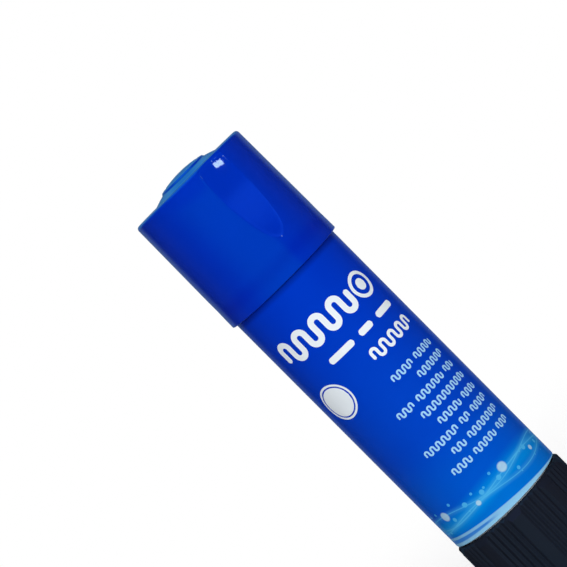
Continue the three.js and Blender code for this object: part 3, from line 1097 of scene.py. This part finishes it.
# Spindle
spindle = {
    "colour": (226, 228, 225),
    "shank": 2.9,
    "barbLip": 0.3,
    "barb": 1.8,
    "barbEdge": 0.2,
    "collarThickness": 1.5,
    "tip": 0.9,
    "threadRow": 0.2,
    "shankRow": 1.5,
    "columns": 96,
}


def mouldedWhite(name, colour):
    return plastic(name, colour, gloss=(0.4, 0.4), grain=(0.6, 0.003), cloud=0.02)


def makeSpindle():
    barbTop = spindleFoot + spindle["barb"]
    barbRadius = knob["hubBore"] + spindle["barbLip"]
    journalFoot = deckTop + seatGap
    collarFoot = barrelFoot + stick["floor"] + seatGap
    threadFoot = collarFoot + spindle["collarThickness"]
    journal = stick["floorHole"] - seatGap
    threadHead = spindleHead - spindle["tip"]
    core = thread["radius"] - thread["depth"]
    corners = [
        (0, spindleFoot, 0),
        (spindle["shank"] - spindle["barbLip"], spindleFoot, 0.3),
        (barbRadius, barbTop - spindle["barbEdge"], 0.1),
        (barbRadius, barbTop, 0.1),
        (spindle["shank"], barbTop, 0.1),
        (spindle["shank"], journalFoot, 0.1),
        (journal, journalFoot, 0.15),
        (journal, collarFoot, 0.15),
        (collarRadius, collarFoot, 0.2),
        (collarRadius, threadFoot, 0.3),
        (thread["radius"], threadFoot, 0),
        (thread["radius"], threadHead, 0),
        (core, spindleHead, 0.2),
        (0, spindleHead, 0),
    ]

    def shape(azimuth, radius, height):
        if barbTop < height < journalFoot and abs(radius - spindle["shank"]) < 0.15:
            return hexRadius(azimuth, radius), height
        if height > threadFoot - 0.001 and radius < thread["radius"] + 0.01:
            return min(radius, threadRadius(azimuth, height, 0)), height
        return radius, height

    def rowStep(radius, height):
        return spindle["threadRow"] if height > threadFoot else spindle["shankRow"]

    bm = turnedMesh(corners, spindle["columns"], rowStep, shape)
    material = mouldedWhite("spindle_white", spindle["colour"])
    makePiece("screw_spindle", bm, material, "knob", "spindle", 50)


makeSpindle()


# Carrier
carrier = {
    "colour": (231, 233, 230),
    "floor": 1.6,
    "cup": 7.4,
    "wall": 1.2,
    "nutWall": 1.4,
    "threadRow": 0.25,
    "wallRow": 2,
    "columns": 192,
}


def makeCarrier():
    bore = thread["radius"] + seatGap
    cupFloor = carrierFoot + carrier["floor"]
    cupRim = cupFloor + carrier["cup"]
    cupBore = carrierRadius - carrier["wall"]
    nut = bore + carrier["nutWall"]
    corners = [
        (bore, carrierFoot, 0),
        (carrierRadius, carrierFoot, 0.25),
        (carrierRadius, cupRim, 0.2),
        (cupBore, cupRim, 0.2),
        (cupBore, cupFloor, 0.5),
        (nut, cupFloor, 0.5),
        (nut, carrierHead, 0.25),
        (bore, carrierHead, 0),
    ]
    notch = stick["bore"] - stick["ribDepth"] - slideGap
    half = ribHalf(carrierRadius, slideGap)

    def shape(azimuth, radius, height):
        if radius < bore + 0.01:
            return threadRadius(azimuth, height, seatGap), height
        if fromRib(azimuth) < half - 0.1:
            return min(radius, notch), height
        return radius, height

    def rowStep(radius, height):
        return carrier["threadRow"] if radius < bore + 0.1 else carrier["wallRow"]

    bm = turnedMesh(corners, carrier["columns"], rowStep, shape, ribMarks(half, (-0.5, 0)))
    material = mouldedWhite("carrier_white", carrier["colour"])
    makePiece("glue_carrier", bm, material, "carrier", "carrier", 50)


makeCarrier()


# Glue
glue = {
    "colour": (243, 240, 227),
    "crown": 3,
    "corner": 1,
    "bore": 3.75,
    "grooveSides": (0.2, -0.9),
    "unevenness": 0.05,
    "waveScale": 300,
    "row": 1.6,
    "columns": 192,
}


def makeGlue():
    cupFloor = carrierFoot + carrier["floor"]
    cupRim = cupFloor + carrier["cup"] + seatGap
    cupBore = carrierRadius - carrier["wall"] - seatGap
    nut = thread["radius"] + seatGap + carrier["nutWall"] + seatGap
    nutTop = carrierHead + seatGap
    boreTop = glueHead - glue["crown"]
    corners = [
        (0, boreTop, 0),
        (glue["bore"], boreTop, 0.6),
        (glue["bore"], nutTop, 0.3),
        (nut, nutTop, 0.3),
        (nut, glueFoot, 0.2),
        (cupBore, glueFoot, 0.4),
        (cupBore, cupRim, 0.2),
        (glueRadius, cupRim, 0.2),
        (glueRadius, glueHead, glue["corner"]),
        (0, glueHead, 0),
    ]
    floor = stick["bore"] - stick["ribDepth"] - seatGap
    half = ribHalf(glueRadius, seatGap)
    start, end = glue["grooveSides"]

    def shape(azimuth, radius, height):
        # grooves that run on the barrel's ribs, and the slight waves of poured glue
        deep = smoothStep(half + start, half + end, fromRib(azimuth)) * (glueRadius - floor)
        radius = min(radius, glueRadius - deep) if radius > floor - 0.5 else radius
        spot = around(azimuth, radius, height)
        drop = glue["unevenness"] * (1 + noise.noise(spot * glue["waveScale"])) / 2
        return radius, height - (drop if height > glueHead - glue["corner"] else 0)

    marks = ribMarks(half, (-1.2, -0.4, 0.3))
    bm = turnedMesh(corners, glue["columns"], glue["row"], shape, marks)
    material = plastic(
        "glue_wax", glue["colour"], gloss=(0.42, 0.4), grain=(1.4, 0.02), cloud=0.03,
        Subsurface_Weight=0.25, Subsurface_Radius=(0.004, 0.0035, 0.0025), Subsurface_Scale=0.5,
    )
    makePiece("glue_bar", bm, material, "carrier", "glue_stick", 50)


makeGlue()
print("pieces made")


# Floor, world and lamps
studio = {
    "floorShade": 0.9,
    "floorFill": 0.46,
    "floorHalf": 4,
    "shadowReach": (0.05, 0.2),
    "ambient": 0.15,
    "room": 0.01,
}
# What reflections see of the studio. A direction's parts to the east, north and up are shares of one
backWall = {"level": 0.35, "north": (0.66, 0.86), "tint": (0.3, 0.52, 1, 1), "tintNorth": (0.5, 0.66)}
sky = {"tint": (0.2, 0.75, 1, 1), "tintUp": (0.05, 0.3)}
frontLight = {
    "tint": (0.02, 0.9, 1, 1),
    "stripTint": (0.02, 0.14, 1, 1),
    "stripUp": (0, 0.004),
    "north": (0.1, -0.1),
}
softboxes = [
    # azimuths where the light comes in and where it goes out, the same for up, level
    ((-75, -20), (44, 28), None, (0.35, 0.12), 0.35),
    ((36, 45), (56, 47), (0, 0.025), (0.1, 0.045), 2),
    ((52, 55), (64, 61), (0, 0.01), (0.07, 0.05), 3),
]
overhead = {
    "level": 0.42,
    "lean": 0.3,
    "rise": (0.55, 0.8),
    "zenith": 1.3,
    "zenithLean": -0.4,
    "zenithRise": (0.82, 0.95),
    "east": (0.6, 0.35),
    "tint": (0.04, 0.7, 1, 1),
    "tintRise": (0.6, 0.9),
}
lamps = [
    # name, azimuth, elevation, distance and size in metres, roll in degrees, level on the object, colour,
    # only seen in reflections
    ("key_lamp", 5, 24, 1.4, (0.9, 0.9), 0, 0.74, (1, 1, 1), False),
    ("back_lamp", 165, 20, 1.4, (0.9, 0.9), 0, 0.3, (1, 1, 1), False),
    ("top_lamp", -100, 78, 1.1, (0.5, 0.5), 0, 0.15, (1, 1, 1), False),
    ("spark_lamp", 44.85, 3.3, 0.51, (0.0145, 0.0036), -8, 0.00112, (0.66, 0.9, 1), True),
]


def glossLight(tree, direction):
    # what reflections see, as colour and level: a dark room, a bluish wall behind the object,
    # softboxes in front and to the right, and a box overhead that leans back
    east, north, up, azimuth = directions(tree, direction)
    level = fade(tree, north, *backWall["north"], studio["room"], backWall["level"])
    for left, right, foot, head, brightness in softboxes:
        sides = [fade(tree, azimuth, *map(math.radians, side)) for side in (left, right)]
        box = calc(tree, "MULTIPLY", *sides)
        if foot:
            box = calc(tree, "MULTIPLY", box, fade(tree, up, *foot))
        box = calc(tree, "MULTIPLY", box, fade(tree, up, *head, 0, brightness))
        level = calc(tree, "ADD", level, box)
    lean = calc(tree, "MULTIPLY_ADD", north, overhead["lean"], up)
    forward = calc(tree, "MULTIPLY_ADD", north, overhead["zenithLean"], up)
    box = calc(
        tree, "ADD",
        fade(tree, lean, *overhead["rise"], 0, overhead["level"]),
        fade(tree, forward, *overhead["zenithRise"], 0, overhead["zenith"]),
    )
    box = calc(tree, "MULTIPLY", box, fade(tree, east, *overhead["east"]))
    level = calc(tree, "ADD", level, box)
    tint = mixColour(tree, fade(tree, north, *backWall["tintNorth"]), white, backWall["tint"])
    tint = mixColour(tree, fade(tree, up, *sky["tintUp"]), tint, sky["tint"])
    strips = fade(tree, up, *frontLight["stripUp"])
    inFront = mixColour(tree, strips, frontLight["tint"], frontLight["stripTint"])
    tint = mixColour(tree, fade(tree, north, *frontLight["north"]), tint, inFront)
    return mixColour(tree, fade(tree, lean, *overhead["tintRise"]), tint, overhead["tint"]), level


def makeFloor():
    bm = bmesh.new()
    bmesh.ops.create_grid(bm, x_segments=8, y_segments=8, size=studio["floorHalf"])
    mesh = meshFrom(bm, "studio_floor")
    floor = addObject("studio_floor", mesh)
    material, tree = addMaterial("floor_pale")
    tree.nodes.clear()
    place = addNode(tree, "TexCoord").outputs["Object"]
    away = addNode(tree, "VectorMath", {"operation": "LENGTH"}, n0=place).outputs["Value"]
    outward = addNode(tree, "VectorMath", {"operation": "NORMALIZE"}, n0=place).outputs[0]
    path, seen = lightPath(tree)
    share = calc(tree, "MULTIPLY", fade(tree, away, *studio["shadowReach"]), seen)
    share = calc(tree, "MAXIMUM", share, path["Is Glossy Ray"])
    shade = (studio["floorShade"],) * 3 + (1,)
    matt = addNode(tree, "BsdfDiffuse", Color=shade).outputs[0]
    fillLevel = calc(tree, "MULTIPLY", seen, studio["floorFill"])
    fill = addNode(tree, "Emission", Strength=fillLevel).outputs[0]
    near = addNode(tree, "AddShader", n0=matt, n1=fill).outputs[0]
    tint, gloss = glossLight(tree, outward)
    tint = mixColour(tree, seen, tint, white)
    farLevel = calc(tree, "MAXIMUM", seen, gloss)
    far = addNode(tree, "Emission", Color=tint, Strength=farLevel).outputs[0]
    mixed = addNode(tree, "MixShader", n0=share, n1=near, n2=far).outputs[0]
    # the floor is open to the camera from below, so that the undersides can be looked at
    backside = addNode(tree, "NewGeometry").outputs["Backfacing"]
    below = calc(tree, "MULTIPLY", backside, path["Is Camera Ray"])
    clear = addNode(tree, "BsdfTransparent").outputs[0]
    mixed = addNode(tree, "MixShader", n0=below, n1=mixed, n2=clear).outputs[0]
    addNode(tree, "OutputMaterial", Surface=mixed)
    mesh.materials.append(material)


def makeWorld():
    world = bpy.data.worlds.new("studio_world")
    world.use_nodes = True
    scene.world = world
    tree = world.node_tree
    path, seen = lightPath(tree)
    facing = addNode(tree, "TexCoord").outputs["Generated"]
    tint, gloss = glossLight(tree, facing)
    glossy = path["Is Glossy Ray"]
    level = addNode(tree, "Mix", n0=glossy, n2=studio["ambient"], n3=gloss).outputs[0]
    level = addNode(tree, "Mix", n0=seen, n2=level, n3=1).outputs[0]
    background = tree.nodes["Background"]
    tint = mixColour(tree, glossy, white, tint)
    tree.links.new(tint, background.inputs["Color"])
    tree.links.new(level, background.inputs["Strength"])


def makeLamps():
    aim = Vector((0, 0, (cadBox[0].z + cadBox[1].z) / 2))
    for name, azimuth, elevation, distance, size, roll, level, colour, onlyGloss in lamps:
        data = bpy.data.lights.new(name, "AREA")
        data.shape = "RECTANGLE"
        data.size, data.size_y = size
        data.energy = level * math.pi ** 2 * distance ** 2  # so that the distance doesn't change the level
        data.color = colour
        lamp = addObject(name, data)
        rise = math.radians(elevation)
        place = around(azimuth, distance * math.cos(rise) / mm, distance * math.sin(rise) / mm)
        place.z += aim.z
        lamp.location = place
        lamp.rotation_mode = "QUATERNION"
        spin = Quaternion((0, 0, 1), math.radians(roll))
        lamp.rotation_quaternion = (place - aim).to_track_quat("Z", "Y") @ spin
        lamp.visible_camera = False
        lamp.visible_diffuse = not onlyGloss
        lamp.visible_glossy = onlyGloss


makeFloor()
makeWorld()
makeLamps()
print("studio set")
